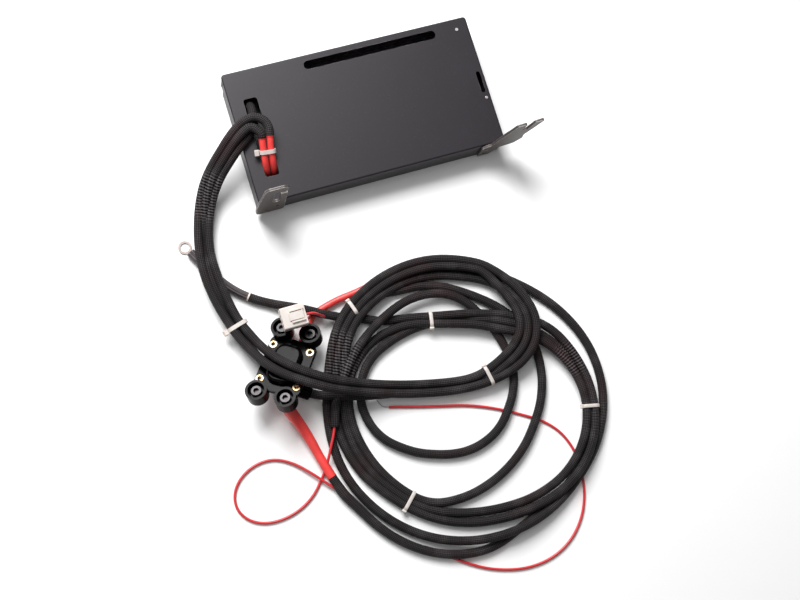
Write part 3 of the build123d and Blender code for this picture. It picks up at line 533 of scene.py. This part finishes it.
def powderCoat(name, colour, worn, rim=0.0009):
    # matt black powder coat: fine orange peel, faint blotches and dust, bare metal on the edges
    coat = Finish(name, Specular_IOR_Level=0.36)
    blotch = coat.grain(14.0, 5.0)
    dust = coat.grain(420.0, 2.0).over(0.60, 0.85)
    wear = coat.edges(rim) * coat.grain(90.0, 3.0).over(0.42, 0.62) * worn
    base = coat.ramp(blotch, (0.3, colour), (0.7, tuple(c * 1.25 for c in colour)))
    base = coat.mixed(dust * 0.05, base, (0.22, 0.20, 0.20))
    coat.feed("Base Color", coat.mixed(wear, base, (0.42, 0.40, 0.39)))
    coat.feed("Roughness", 0.40 + blotch * 0.14 - wear * 0.1)
    coat.feed("Metallic", wear * 0.8)
    coat.bump(coat.grain(1500.0, 2.0) + blotch * 0.6, 0.00008, 0.6)
    return coat.material


def bareMetal(name, colour, roughness, scratch=0.25, **constants):
    metal = Finish(name, **constants)
    cloud = metal.grain(140.0, 4.0)
    scored = metal.grain(900.0, 2.0)
    metal.feed("Base Color", metal.ramp(cloud, (0.25, tuple(c * 0.78 for c in colour)), (0.75, colour)))
    metal.feed("Roughness", roughness + (scored - 0.5) * scratch)
    metal.shader.inputs["Metallic"].default_value = 1.0
    metal.bump(scored, 0.00004)
    return metal.material


def moulded(name, colour, roughness, lift=1.5, worn=0.25, bump=0.00005, **constants):
    # moulded plastic: soft mottling, fine spark texture, paler where edges are rubbed
    plastic = Finish(name, **constants)
    cloud = plastic.grain(70.0, 3.0)
    rub = plastic.edges(0.0006) * plastic.grain(220.0, 2.0).over(0.35, 0.65) * worn
    base = plastic.ramp(cloud, (0.3, colour), (0.72, tuple(min(1.0, c * lift) for c in colour)))
    plastic.feed("Base Color", plastic.mixed(rub, base, tuple(min(1.0, c * 2.2 + 0.05) for c in colour)))
    plastic.feed("Roughness", roughness + cloud * 0.12)
    plastic.bump(plastic.grain(1400.0, 2.0), bump)
    return plastic.material


weaveMake = {
    "strands": 8.0,  # to one girth of the cable
    "rings": 9.5,  # rings in the length of one girth, where the sleeve is pushed together
    "bunched": [  # centre and radius in metres of each pushed-together stretch
        ((-0.112, -0.272, 0.01), 0.036),
        ((-0.203, -0.052, 0.02), 0.034),
        ((0.152, -0.352, 0.01), 0.028),
    ],
    "fade": 0.012,
    # the hollow colour is painted shade between the strands, the crown colour a painted highlight on
    # their tops
    "paintedHollowShade": (0.0020, 0.0018, 0.0019),
    "strand": (0.0085, 0.0075, 0.0078),
    "paintedCrownHighlight": (0.038, 0.034, 0.035),
    # a painted sheen: a pale colour mixed over the strand tops
    "paintedSheen": (0.16, 0.146, 0.15),
    "leadGlow": (0.032, 0.004, 0.006),
}


def braid(name):
    # woven sleeve: two families of strands cross round the cable, and in places it is pushed
    # together into rings; painted shade darkens the hollows, painted highlights and sheen lighten the
    # crowns and rings
    sleeve = Finish(name, Specular_IOR_Level=0.10)
    u = sleeve.along()
    v = u.part("Y")
    turn = 2 * math.pi
    pace = weaveMake["strands"] * turn
    left = (u * pace + v * pace).sine()
    right = (u * pace - v * pace).sine()
    weave = (left * right).over(-1.0, 1.0)
    rings = (v * (weaveMake["rings"] * turn) + left * 0.6).sine().over(-0.7, 1.3)
    bunched = sleeve.grain(6.0, 1.0).over(0.62, 0.72) * 0.5
    for centre, size in weaveMake["bunched"]:
        away = sleeve.node("VectorMath", {"operation": "DISTANCE"}, output="Value")
        sleeve.tree.links.new(sleeve.place().socket, away.socket.node.inputs[0])
        away.socket.node.inputs[1].default_value = centre
        bunched = bunched.maths("MAXIMUM", (size - away).over(0.0, weaveMake["fade"]))
    fibre = sleeve.grain(2600.0, 1.0)
    cloud = sleeve.grain(45.0, 3.0)
    glow = sleeve.grain(16.0, 2.0).over(0.50, 0.70)  # the red leads show faintly through the mesh
    pattern = weave * (1.0 - bunched) + rings * bunched
    # colour by weave height: painted shade in the hollows, painted highlight on the crowns and rings
    base = sleeve.ramp(
        pattern, (0.2, weaveMake["paintedHollowShade"]), (0.62, weaveMake["strand"]), (1.0, weaveMake["paintedCrownHighlight"])
    )
    # painted sheen, strongest on the pushed-together rings and in random patches
    paintedSheen = 0.10 + bunched * 0.36 + cloud.over(0.48, 0.78) * 0.30
    base = sleeve.mixed(pattern * paintedSheen, base, weaveMake["paintedSheen"])
    sleeve.feed("Base Color", sleeve.mixed(glow * (1.0 - pattern) * 0.5, base, weaveMake["leadGlow"]))
    sleeve.feed("Roughness", 0.40 + fibre * 0.25)
    sleeve.bump(pattern + fibre * 0.15, 0.0006)
    return sleeve.material


def redSkin(name, colour, waves=0.0):
    # heat-shrunk or extruded red insulation with a soft shine and small wrinkles
    skin = Finish(name, Specular_IOR_Level=0.5, Coat_Weight=0.15, Coat_Roughness=0.3)
    cloud = skin.grain(55.0, 3.0)
    v = skin.along().part("Y")
    wrinkle = (v * 9.0 + cloud * 6.0).sine()
    skin.feed("Base Color", skin.ramp(cloud, (0.25, tuple(c * 0.82 for c in colour)), (0.75, colour)))
    skin.feed("Roughness", 0.34 + cloud * 0.14)
    skin.bump(wrinkle * waves + skin.grain(700.0, 2.0) * 0.25, 0.00025)
    return skin.material


def darkShrink(name):
    # heat-shrunk tube over the braid: satin, with the cords underneath showing as faint ridges
    shrink = Finish(name, Specular_IOR_Level=0.5)
    u = shrink.along()
    ridge = (u * (11.0 * 2 * math.pi)).sine()
    cloud = shrink.grain(80.0, 3.0)
    base = shrink.ramp(cloud, (0.3, (0.030, 0.023, 0.025)), (0.7, (0.060, 0.048, 0.051)))
    shrink.feed("Base Color", base)
    shrink.feed("Roughness", 0.30 + cloud * 0.15)
    shrink.bump(ridge + cloud, 0.00025)
    return shrink.material


def openFoam(name):
    foam = Finish(name)
    cells = foam.node("TexVoronoi", Vector=foam.place(), Scale=900.0)
    foam.feed("Base Color", foam.ramp(cells, (0.0, (0.008, 0.008, 0.008)), (0.8, (0.03, 0.03, 0.03))))
    foam.feed("Roughness", 0.85 + cells * 0.1)
    foam.bump(cells, 0.0004)
    return foam.material


def circuitBoard(name):
    board = Finish(name, Coat_Weight=0.4, Coat_Roughness=0.2)
    tracks = board.node("TexVoronoi", {"distance": "MANHATTAN"}, Vector=board.place(), Scale=260.0)
    # painted shade: the board's greens are taken down to near black for a board deep in the slot's shade
    base = board.ramp(tracks, (0.35, (0.004, 0.012, 0.008)), (0.5, (0.008, 0.022, 0.014)))
    board.feed("Base Color", base)
    board.feed("Roughness", 0.35 + tracks * 0.2)
    board.bump(tracks, 0.00005)
    return board.material


finishes = {
    "powder_coat": powderCoat("powderCoat", (0.0062, 0.0036, 0.0072), 0.45),
    "ear_coat": powderCoat("earCoat", (0.050, 0.040, 0.036), 1.9, 0.0020),
    "zinc_steel": bareMetal("zincSteel", (0.62, 0.62, 0.60), 0.36),
    "rivet_steel": bareMetal("rivetSteel", (0.62, 0.61, 0.60), 0.34),
    "foam": openFoam("openFoam"),
    "cell_case": bareMetal("cellCase", (0.62, 0.63, 0.65), 0.42),
    "copper": bareMetal("copperBar", (0.80, 0.46, 0.30), 0.3),
    "contact_brass": bareMetal("brassEyelet", (0.42, 0.31, 0.18), 0.34),
    "dark_shrink": darkShrink("darkShrink"),
    "bare_strands": bareMetal("bareStrands", (0.45, 0.42, 0.40), 0.4),
    "board": circuitBoard("circuitBoard"),
    "board_part": moulded("boardPart", (0.015, 0.015, 0.016), 0.45),
    "red_lead": redSkin("redShrink", (0.80, 0.050, 0.045), 0.5),
    "red_wire": redSkin("redWire", (0.60, 0.024, 0.030)),
    "sleeve": braid("braidedSleeve"),
    "block_plastic": moulded(
        "blockPlastic", (0.0010, 0.0007, 0.0008), 0.13, 1.8, 0.22, Specular_IOR_Level=0.06
    ),
    "screw_steel": bareMetal("blackOxide", (0.035, 0.033, 0.034), 0.30),
    "tinned_copper": bareMetal("tinnedLug", (0.30, 0.255, 0.24), 0.42),
    "natural_nylon": moulded(
        "naturalNylon", (0.56, 0.49, 0.455), 0.40, 1.15, 0.1, Subsurface_Weight=0.1
    ),
}
for entry in frame["record"]["subparts"]:
    node = frame["nodes"][entry["node"]]
    node.data.materials.clear()
    node.data.materials.append(finishes[entry["material_slot"]])
print("finishes on the fixed parts")


cableMake = {
    "sleeve": 0.0052,  # outside radius over the braid
    "lead": 0.0040,  # red lead at the slot
    "shrink": 0.0054,  # heat-shrunk tail at the block
    "wire": 0.0016,  # thin sensing wire
    "sleeveOn": 0.057,  # length of bare red lead at the slot
    "tailA": 0.118,  # length of red tail at the end of the first cable
    "tailD": 0.122,  # length of red tail at the start of the fourth
    "lugShrink": 0.084,  # dark shrink over the end of the third, up to its lug
    "stripped": 0.017,  # bare strands at the end of the long thin wire
    "sides": 16,
    "wireSides": 10,
}
thinOnes = ("senseLoop", "senseArc", "plugLead")
# a line's middle stays this many radii above the floor, less where its end is stripped thin
clearance = 1.05
lowClearance = {"senseArc": 0.5}


def paint(piece, line, bands):
    # gives each ring of faces the finish of the band that its distance along the line falls in
    along = lengthsAlong(line)
    middles = (along[1:] + along[:-1]) / 2
    slots = np.zeros(len(middles), dtype=np.int32)
    for place, (start, slotName) in enumerate(bands):
        piece.data.materials.append(finishes[slotName])
        slots[middles >= start] = place
    sides = (len(piece.data.polygons) - 2) // len(middles)
    marks = np.concatenate((np.repeat(slots, sides), [0, slots[-1]])).astype(np.int32)
    piece.data.polygons.foreach_set("material_index", marks)


def swell(line, marks):
    # radius along the line: straight changes between (distance, radius) marks
    along = lengthsAlong(line)
    return np.interp(along, [mark[0] for mark in marks], [mark[1] for mark in marks])


lines = {name: smoothLine(points) for name, points in cableRoutes.items()}
for name, line in lines.items():
    skin = cableMake["wire" if name in thinOnes else "sleeve"]
    line[:, 2] = np.maximum(line[:, 2], skin * lowClearance.get(name, clearance))
spans = {name: float(lengthsAlong(line)[-1]) for name, line in lines.items()}
red, wide, thin = cableMake["lead"], cableMake["sleeve"], cableMake["shrink"]
onAt, tailA, tailD = cableMake["sleeveOn"], cableMake["tailA"], cableMake["tailD"]
fine = cableMake["wire"]
bare = spans["senseArc"] - cableMake["stripped"]
lug, lugShrink = spans["cableC"], spans["cableC"] - cableMake["lugShrink"]
marks = {
    "cableA": [
        (0, red),
        (onAt - 0.001, red),
        (onAt, wide),
        (spans["cableA"] - tailA - 0.012, wide),
        (spans["cableA"] - tailA, red),
        (spans["cableA"] - 0.035, red),
        (spans["cableA"] - 0.012, thin),
        (spans["cableA"], thin),
    ],
    "cableB": [(0, red), (onAt - 0.001, red), (onAt, wide), (spans["cableB"], wide)],
    "cableC": [
        (0, wide),
        (lugShrink - 0.003, wide),
        (lugShrink, wide - 0.0003),
        (lug - 0.030, wide - 0.0004),
        (lug - 0.012, wide + 0.0002),
        (lug, wide),
    ],
    "cableD": [
        (0, thin),
        (0.012, thin + 0.0004),
        (0.022, thin + 0.0020),
        (0.045, thin + 0.0010),
        (0.085, thin - 0.0002),
        (tailD - 0.008, thin),
        (tailD - 0.005, wide),
        (tailD + 0.01, wide + 0.0006),
        (tailD + 0.09, wide),
        (spans["cableD"], wide),
    ],
    "senseArc": [
        (0, fine),
        (bare - 0.001, fine),
        (bare, fine * 0.36),
        (spans["senseArc"], fine * 0.30),
    ],
}
bands = {
    "cableA": [(0, "red_lead"), (onAt, "sleeve"), (spans["cableA"] - tailA, "red_lead")],
    "cableB": [(0, "red_lead"), (onAt, "sleeve")],
    "cableC": [(0, "sleeve"), (lugShrink - 0.0025, "natural_nylon"), (lugShrink, "dark_shrink")],
    "cableD": [(0, "red_lead"), (tailD - 0.006, "sleeve")],
    "senseArc": [(0, "red_wire"), (bare, "bare_strands")],
}
cables = {}
for name in ("cableA", "cableB", "cableC", "cableD", "senseArc"):
    line = lines[name]
    sides = cableMake["wireSides" if name in thinOnes else "sides"]
    cables[name] = tube(name, line, swell(line, marks[name]), sides)
    paint(cables[name], line, bands[name])
for name in ("senseLoop", "plugLead"):
    cables[name] = tube(name, lines[name], fine, cableMake["wireSides"])
    cables[name].data.materials.append(finishes["red_wire"])
for name, piece in cables.items():
    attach(piece, rootBody)
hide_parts("lead_a", "cable_a", "tail_2", "loom_coil")
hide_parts("lead_b", "cable_b")
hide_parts("cable_c", "lug_lead")
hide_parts("tail_1")
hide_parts("sense_loop")
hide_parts("sense_arc", "sense_tip")
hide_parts("plug_lead")
print("cables drawn", {name: round(span, 3) for name, span in spans.items()})

ties = {
    "width": 0.0042,
    "thick": 0.0012,
    "head": (0.0052, 0.0042, 0.0034),
    "round": 0.35,  # power that squares a ball off into the head: 1 is a ball, 0 a sharp block
    "sunk": 0.45,  # share of the head's height between its middle and the cable's skin
    "sides": 72,
    "headRows": 14,
    "headSides": 24,
    # for each: its place, which way its head faces, and how near a cable is to be inside it, metres
    "tieUpperLeft": ((-0.080, -0.2225, 0.014), (-0.6, 0.9, 0.5), 0.0105),
    "tieChordUpper": ((0.004, -0.265, 0.010), (0.1, -1.0, 0.45), 0.018),
    "tieChord": ((0.051, -0.344, 0.012), (-0.2, 1.0, 0.5), 0.020),
    "tieRight": ((0.160, -0.412, 0.008), (-1.0, 0.2, 0.4), 0.0115),
    "tieLowerLeft": ((-0.083, -0.455, 0.008), (-0.7, -0.8, 0.4), 0.020),
}


def strapRound(name, place, faces, reach):
    # the outline of the cables where they pass the place: for each direction, the cable that lies
    # furthest that way, and a point on its skin
    place = np.array(place)
    hubs, aheads = [], []
    for cableName in ("cableA", "cableB", "cableC", "cableD"):
        line = lines[cableName]
        ahead = frames(line)[0]
        gap = np.linalg.norm((line - place) * (1, 1, 0.3), axis=1)
        dips = np.nonzero((gap[1:-1] <= gap[:-2]) & (gap[1:-1] < gap[2:]) & (gap[1:-1] < reach))[0] + 1
        hubs.extend(line[dips])
        aheads.extend(ahead[dips])
    hubs, aheads = np.array(hubs), np.array(aheads)
    aheads[aheads @ aheads[0] < 0] *= -1
    normal = aheads.mean(0) * (1, 1, 0)
    normal /= np.linalg.norm(normal)
    across = np.cross((0, 0, 1), normal)
    flat = np.stack(((hubs - place) @ across, hubs[:, 2]), 1)
    angles = np.linspace(0, 2 * math.pi, ties["sides"], endpoint=False)
    ways = np.stack((np.cos(angles), np.sin(angles)), 1)
    outline = flat[(ways @ flat.T).argmax(1)] + ways * cableMake["sleeve"]
    halfWidth, thick = ties["width"] / 2, ties["thick"]
    section = np.array(
        [(-1, 0), (-1, 0.8), (-0.8, 1), (0.8, 1), (1, 0.8), (1, 0), (0.8, -0.1), (-0.8, -0.1)]
    )
    spread = outline[:, None] + ways[:, None] * (section[None, :, 1:] * thick)
    low = np.maximum(spread[..., 1:], 0.0001)
    ring = place * (1, 1, 0) + spread[..., :1] * across + low * (0, 0, 1)
    ring = ring + section[None, :, :1] * halfWidth * normal
    band = sheetMesh(name, np.concatenate((ring, ring[:1])), True)
    # the head: a block with rounded edges, every point of a sphere pushed out by a power of itself
    way = np.array((across[:2] @ faces[:2], faces[2]))
    way /= np.linalg.norm(way)
    hub = flat[(flat @ way).argmax()] + way * (cableMake["sleeve"] + ties["head"][2] * ties["sunk"])
    hub[1] = max(hub[1], ties["head"][1] / 2 + 0.0003)
    tilts = np.linspace(-math.pi / 2, math.pi / 2, ties["headRows"])
    bearings = np.linspace(0, 2 * math.pi, ties["headSides"] + 1)[:-1]
    u, v = np.meshgrid(tilts, bearings, indexing="ij")
    ball = np.stack((np.cos(u) * np.cos(v), np.cos(u) * np.sin(v), np.sin(u)), -1)
    ball = np.sign(ball) * np.abs(ball) ** ties["round"] * (np.array(ties["head"]) / 2)
    out = way[0] * across + way[1] * np.array((0.0, 0.0, 1.0))
    side = np.cross(normal, out)
    head = place * (1, 1, 0) + hub[0] * across + hub[1] * np.array((0.0, 0.0, 1.0))
    head = head + ball[..., :1] * normal + ball[..., 1:2] * side + ball[..., 2:] * out
    headPiece = sheetMesh(name + "Head", head, True)
    for piece in (band, headPiece):
        piece.data.materials.append(finishes["natural_nylon"])
        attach(piece, rootBody)


for name in ("tieUpperLeft", "tieChordUpper", "tieChord", "tieRight", "tieLowerLeft"):
    strapRound(name, *ties[name])
print("ties round the cables")

blockParts = ["block_base", "mount_eyelets", "block_hood", "link_bar", "tail_glands"]
blockParts += [f"terminal_screw_{i}" for i in (1, 2, 3, 4)]

# floor, light and camera
setting = {
    "lens": 55.8,
    "sensor": 36.0,
    "turned": (9.655, -8.757, -17.344),  # degrees
    "stands": (-0.30445, -0.39550, 1.42980),
    "floor": 6.0,
    "sky": 0.22,
}
half = setting["floor"] / 2
corner = np.array([[[-half, -half, 0], [half, -half, 0]], [[-half, half, 0], [half, half, 0]]], float)
floor = sheetMesh("floor", corner)
paper = Finish("palePaper", Roughness=0.9)
shade = paper.ramp(paper.grain(3.0), (0.3, (0.88, 0.88, 0.88)), (0.7, (0.90, 0.90, 0.90)))
paper.feed("Base Color", shade)
floor.data.materials.append(paper.material)

camera = bpy.data.objects.new("camera", bpy.data.cameras.new("camera"))
camera.data.lens = setting["lens"]
camera.data.sensor_width = setting["sensor"]
camera.rotation_euler = [math.radians(a) for a in setting["turned"]]
camera.location = setting["stands"]
bpy.context.collection.objects.link(camera)
bpy.context.scene.camera = camera

lamps = {  # place, size, power, and the point it is aimed at
    "key": ((-0.35, 1.15, 1.45), 1.1, 72.0, (-0.05, -0.25, 0.0)),
    "overhead": ((-0.1, 0.3, 1.9), 1.2, 6.0, (0.0, -0.3, 0.0)),
    "left": ((-1.7, -0.3, 0.9), 1.0, 3.0, (-0.1, -0.2, 0.0)),
}
for name, (place, size, power, aim) in lamps.items():
    lamp = bpy.data.lights.new(name, "AREA")
    lamp.size = size
    lamp.energy = power
    holder = bpy.data.objects.new(name, lamp)
    holder.location = place
    holder.rotation_euler = (Vector(aim) - Vector(place)).to_track_quat("-Z", "Y").to_euler()
    bpy.context.collection.objects.link(holder)
world = bpy.data.worlds.new("studio")
world.use_nodes = True
world.node_tree.nodes["Background"].inputs["Color"].default_value = (1, 1, 1, 1)
world.node_tree.nodes["Background"].inputs["Strength"].default_value = setting["sky"]
bpy.context.scene.world = world
bpy.context.scene.view_settings.view_transform = "Standard"
print("stage set")
